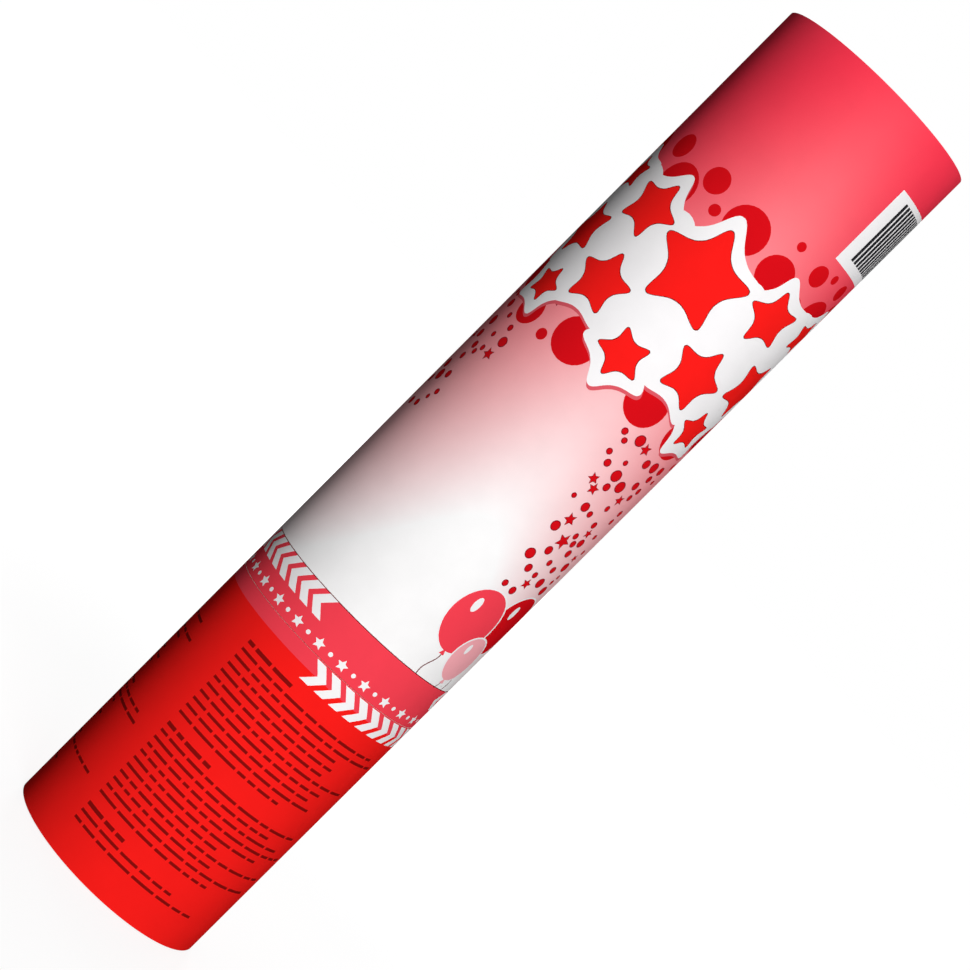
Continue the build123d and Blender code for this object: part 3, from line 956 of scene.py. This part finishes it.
slip_inks = []
for slip_name, (first_tone, second_tone) in SLIP_TONES.items():
    slip_inks.append(matter(slip_name, first_tone, second_tone, grain=260.0, rough=0.62))
faces_in_slip = 4 * SLIP_ROWS + 2
for tier in range(TIERS):
    node = f"confetti_tier_{tier + 1}"
    low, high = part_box(node)
    points, faces, tints = [], [], []
    for row, along in stacks():
        for count in range(SLIPS):
            place = row + (SLIP_STACK - STACK_MARGIN) * (count / (SLIPS - 1) - 0.5)
            slip(points, faces, place, along, low.z / MM, high.z / MM)
            tints += [chance.choice(SLIP_DRAWS)] * faces_in_slip
    turn = Matrix.Rotation(math.radians(tier * TIER_TURN), 3, "Z")
    mesh = bpy.data.meshes.new(f"slips_{tier + 1}")
    mesh.from_pydata([turn @ Vector(point) * MM for point in points], [], faces)
    for ink in slip_inks:
        mesh.materials.append(ink)
    mesh.polygons.foreach_set("material_index", tints)
    made = put(f"slips_{tier + 1}", mesh)
    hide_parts(node)
    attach(made, "load")


# Floor, world and lights

FLOOR_HALF = 8.0
FLOOR_DROP = 0.0002
FLOOR_NEAR = 0.15  # the floor's own light grows from FLOOR_DIM here to 1 at FLOOR_FAR
FLOOR_FAR = 0.7
FLOOR_DIM = 0.86
FLOOR_BOUNCE = 0.03  # grey of the light that it throws back
SKY_LIGHT = 0.035  # strength of the light that falls from the sky, which itself shows white

# Lamps: place, size and power
LAMPS = {
    "key": ((0.25, -0.97, 0.32), 0.3, 9.8),
    "back": ((-0.1, 1.7, 0.7), 0.3, 16.0),
    "back_left": ((-0.85, 1.47, 0.5), 0.4, 5.0),
    "back_right": ((0.44, 1.64, 0.5), 0.4, 8.0),
    "top": ((0.0, 0.0, 1.6), 0.6, 7.0),
}
middle = Vector((0.0, 0.0, cad_high.z / 2))


def seen(tree):
    """Return 1 for rays from the camera, from gloss and through glass, and 0 for the light that falls."""
    rays = add(tree, "ShaderNodeLightPath").outputs
    straight = calc(tree, "MAXIMUM", rays["Is Camera Ray"], rays["Is Glossy Ray"])
    return calc(tree, "MAXIMUM", straight, rays["Is Transmission Ray"])


def floor_material():
    """Make a white floor that keeps the shadow round the object and throws little light back."""
    material, tree, surface, place = begin("floor")
    cloud = noise(tree, place, scale=3.0)
    pale = mix(tree, cloud, neutral(0.15), neutral(0.16))
    give(tree, surface, Base_Color=pale, Roughness=0.9, Specular_IOR_Level=0.0)
    bounce = add(tree, "ShaderNodeBsdfDiffuse", {"Color": neutral(FLOOR_BOUNCE)})
    away = add(tree, "ShaderNodeVectorMath", {0: place}, operation="LENGTH").outputs["Value"]
    strength = remap(tree, away, FLOOR_NEAR, FLOOR_FAR, FLOOR_DIM, 1.0)
    glow = add(tree, "ShaderNodeEmission", {"Color": neutral(1.0), "Strength": strength})
    both = add(tree, "ShaderNodeAddShader", {0: surface.outputs[0], 1: glow.outputs[0]})
    either = add(tree, "ShaderNodeMixShader", {0: seen(tree), 1: bounce.outputs[0], 2: both.outputs[0]})
    tree.links.new(either.outputs[0], tree.nodes["Material Output"].inputs[0])
    return material


def lamp(name, place, size, power):
    """Hang a square soft light that faces the middle of the object."""
    light = bpy.data.lights.new(name, "AREA")
    light.size = size
    light.energy = power
    made = put(name, light)
    made.location = place
    made.rotation_euler = (middle - Vector(place)).to_track_quat("-Z", "Y").to_euler()
    made.visible_camera = False


floor_corners = [(x, y, 0) for x, y in block(-FLOOR_HALF, -FLOOR_HALF, FLOOR_HALF, FLOOR_HALF)]
floor_mesh = bpy.data.meshes.new("floor")
floor_mesh.from_pydata(floor_corners, [], [(0, 1, 2, 3)])
floor_mesh.materials.append(floor_material())
floor = put("floor", floor_mesh)
floor.location.z = -FLOOR_DROP
floor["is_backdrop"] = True

world = bpy.data.worlds.new("studio")
world.use_nodes = True
bpy.context.scene.world = world
sky = world.node_tree
sky.nodes.clear()
level = remap(sky, seen(sky), 0.0, 1.0, SKY_LIGHT, 1.0)
white = add(sky, "ShaderNodeBackground", {"Color": neutral(1.0), "Strength": level})
sky.links.new(white.outputs[0], add(sky, "ShaderNodeOutputWorld").inputs[0])
for lamp_name, lamp_values in LAMPS.items():
    lamp(lamp_name, *lamp_values)


# Camera, rolled so that the tube lies along the picture's diagonal

PICTURE = 970  # pixels, as are the focal length and the shifts
FOCAL = 2595.8
SHIFT_RIGHT = -2.39
SHIFT_UP = 1.34
DISTANCE = 0.66044
ELEVATION = math.radians(3.4923)
up = Vector((0, math.sin(ELEVATION), math.cos(ELEVATION)))
right = Vector((1, 0, 0))
back = Vector((0, -math.cos(ELEVATION), math.sin(ELEVATION)))
across = (up + right).normalized()
upward = (up - right).normalized()
pixel = DISTANCE / FOCAL
camera_data = bpy.data.cameras.new("camera")
camera_data.sensor_width = 36.0
camera_data.lens = FOCAL / PICTURE * camera_data.sensor_width
camera_data.clip_start = 0.01
camera = put("camera", camera_data)
camera.matrix_world = Matrix((across, upward, back)).transposed().to_4x4()
camera.location = middle + DISTANCE * back + SHIFT_RIGHT * pixel * across + SHIFT_UP * pixel * upward
bpy.context.scene.camera = camera
bpy.context.scene.view_settings.view_transform = "Standard"

low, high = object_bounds()
